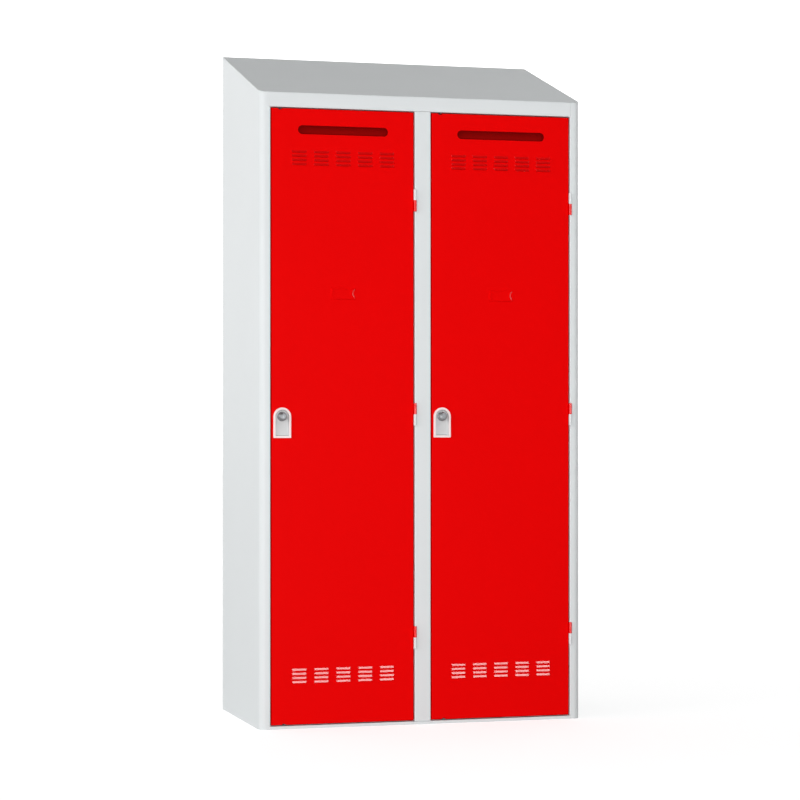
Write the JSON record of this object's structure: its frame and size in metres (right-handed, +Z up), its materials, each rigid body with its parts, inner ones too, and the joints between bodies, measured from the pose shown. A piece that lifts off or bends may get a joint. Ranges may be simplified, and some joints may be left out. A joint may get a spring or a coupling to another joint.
{
  "type": "metal locker",
  "caption": "Free-standing sheet-steel clothes locker with a sloping roof, tall hinged doors with slots and louvres, turning-knob locks with rods, shelves and hanging rails.",
  "frame": {"origin": "on the floor under the middle of the carcass", "axes": "+X to the right as seen by someone facing the doors, +Y from the doors to the back, +Z up"},
  "size_m": [0.96, 0.516, 1.965],
  "materials": {
    "grey_paint": "light grey powder coat, satin",
    "red_paint": "red powder coat, semi-gloss",
    "lock_metal": "pale lacquer on a zinc casting",
    "satin_chrome": "satin chrome on a zinc casting",
    "zinc_plate": "bright zinc plate",
    "black_zinc": "black passivated zinc plate",
    "chrome_tube": "polished",
    "black_nylon": "moulded, matt",
    "black_rubber": "matt"
  },
  "bodies": {
    "carcass": {"left_side_panel": "grey_paint", "right_side_panel": "grey_paint", "back_panel": "grey_paint", "sloping_roof": "grey_paint", "front_header": "grey_paint", "bottom_rail": "grey_paint", "centre_stile": "grey_paint", "centre_partition": "grey_paint", "floor_panel": "grey_paint", "floor_bearer": "grey_paint", "left_hat_shelf": "grey_paint", "left_clothes_rail": "chrome_tube", "left_rail_socket_outer": "black_nylon", "left_rail_socket_inner": "black_nylon", "left_coat_hook": "zinc_plate", "left_door_buffer": "black_rubber", "right_hat_shelf": "grey_paint", "right_clothes_rail": "chrome_tube", "right_rail_socket_outer": "black_nylon", "right_rail_socket_inner": "black_nylon", "right_coat_hook": "zinc_plate", "right_door_buffer": "black_rubber", "left_hinge_top_frame_half": "grey_paint", "left_hinge_middle_frame_half": "grey_paint", "left_hinge_bottom_frame_half": "grey_paint", "right_hinge_top_frame_half": "grey_paint", "right_hinge_middle_frame_half": "grey_paint", "right_hinge_bottom_frame_half": "grey_paint"},
    "left_door": {"left_door_panel": "red_paint", "left_slot_baffle": "red_paint", "left_door_stiffener": "red_paint", "left_label_holder": "red_paint", "left_hinge_top_door_half": "red_paint", "left_hinge_middle_door_half": "red_paint", "left_hinge_bottom_door_half": "red_paint", "left_lock_cup": "lock_metal", "left_lock_clamp": "zinc_plate", "left_lock_nut": "zinc_plate", "left_upper_rod_guide": "black_nylon", "left_lower_rod_guide": "black_nylon"},
    "right_door": {"right_door_panel": "red_paint", "right_slot_baffle": "red_paint", "right_door_stiffener": "red_paint", "right_label_holder": "red_paint", "right_hinge_top_door_half": "red_paint", "right_hinge_middle_door_half": "red_paint", "right_hinge_bottom_door_half": "red_paint", "right_lock_cup": "lock_metal", "right_lock_clamp": "zinc_plate", "right_lock_nut": "zinc_plate", "right_upper_rod_guide": "black_nylon", "right_lower_rod_guide": "black_nylon"},
    "left_lock": {"left_lock_knob": "satin_chrome", "left_lock_cam": "zinc_plate"},
    "right_lock": {"right_lock_knob": "satin_chrome", "right_lock_cam": "zinc_plate"},
    "left_upper_rod_body": {"left_upper_rod": "black_zinc"},
    "left_lower_rod_body": {"left_lower_rod": "black_zinc"},
    "right_upper_rod_body": {"right_upper_rod": "black_zinc"},
    "right_lower_rod_body": {"right_lower_rod": "black_zinc"}
  },
  "joints": [
    {"name": "left_door_swing", "type": "hinge", "parent": "carcass", "child": "left_door", "pos_m": [-0.024, -0.2548, 0.8835], "axis": [0, 0, 1], "range_deg": [0, 150]},
    {"name": "right_door_swing", "type": "hinge", "parent": "carcass", "child": "right_door", "pos_m": [0.448, -0.2548, 0.8835], "axis": [0, 0, 1], "range_deg": [0, 150]},
    {"name": "left_knob_turn", "type": "hinge", "parent": "left_door", "child": "left_lock", "pos_m": [-0.41425, -0.25, 0.8835], "axis": [0, 1, 0], "range_deg": [0, 90]},
    {"name": "right_knob_turn", "type": "hinge", "parent": "right_door", "child": "right_lock", "pos_m": [0.05775, -0.25, 0.8835], "axis": [0, 1, 0], "range_deg": [0, 90]},
    {"name": "left_upper_rod_slide", "type": "slide", "parent": "left_door", "child": "left_upper_rod_body", "axis": [0, 0, 1], "range_m": [0, 0.009]},
    {"name": "left_lower_rod_slide", "type": "slide", "parent": "left_door", "child": "left_lower_rod_body", "axis": [0, 0, -1], "range_m": [0, 0.009]},
    {"name": "right_upper_rod_slide", "type": "slide", "parent": "right_door", "child": "right_upper_rod_body", "axis": [0, 0, 1], "range_m": [0, 0.009]},
    {"name": "right_lower_rod_slide", "type": "slide", "parent": "right_door", "child": "right_lower_rod_body", "axis": [0, 0, -1], "range_m": [0, 0.009]}
  ],
  "couplings": [
    {"joint": "left_knob_turn", "follows": "left_upper_rod_slide", "rad_per_m": 174.53},
    {"joint": "left_lower_rod_slide", "follows": "left_upper_rod_slide", "ratio": 1},
    {"joint": "right_knob_turn", "follows": "right_upper_rod_slide", "rad_per_m": 174.53},
    {"joint": "right_lower_rod_slide", "follows": "right_upper_rod_slide", "ratio": 1}
  ]
}
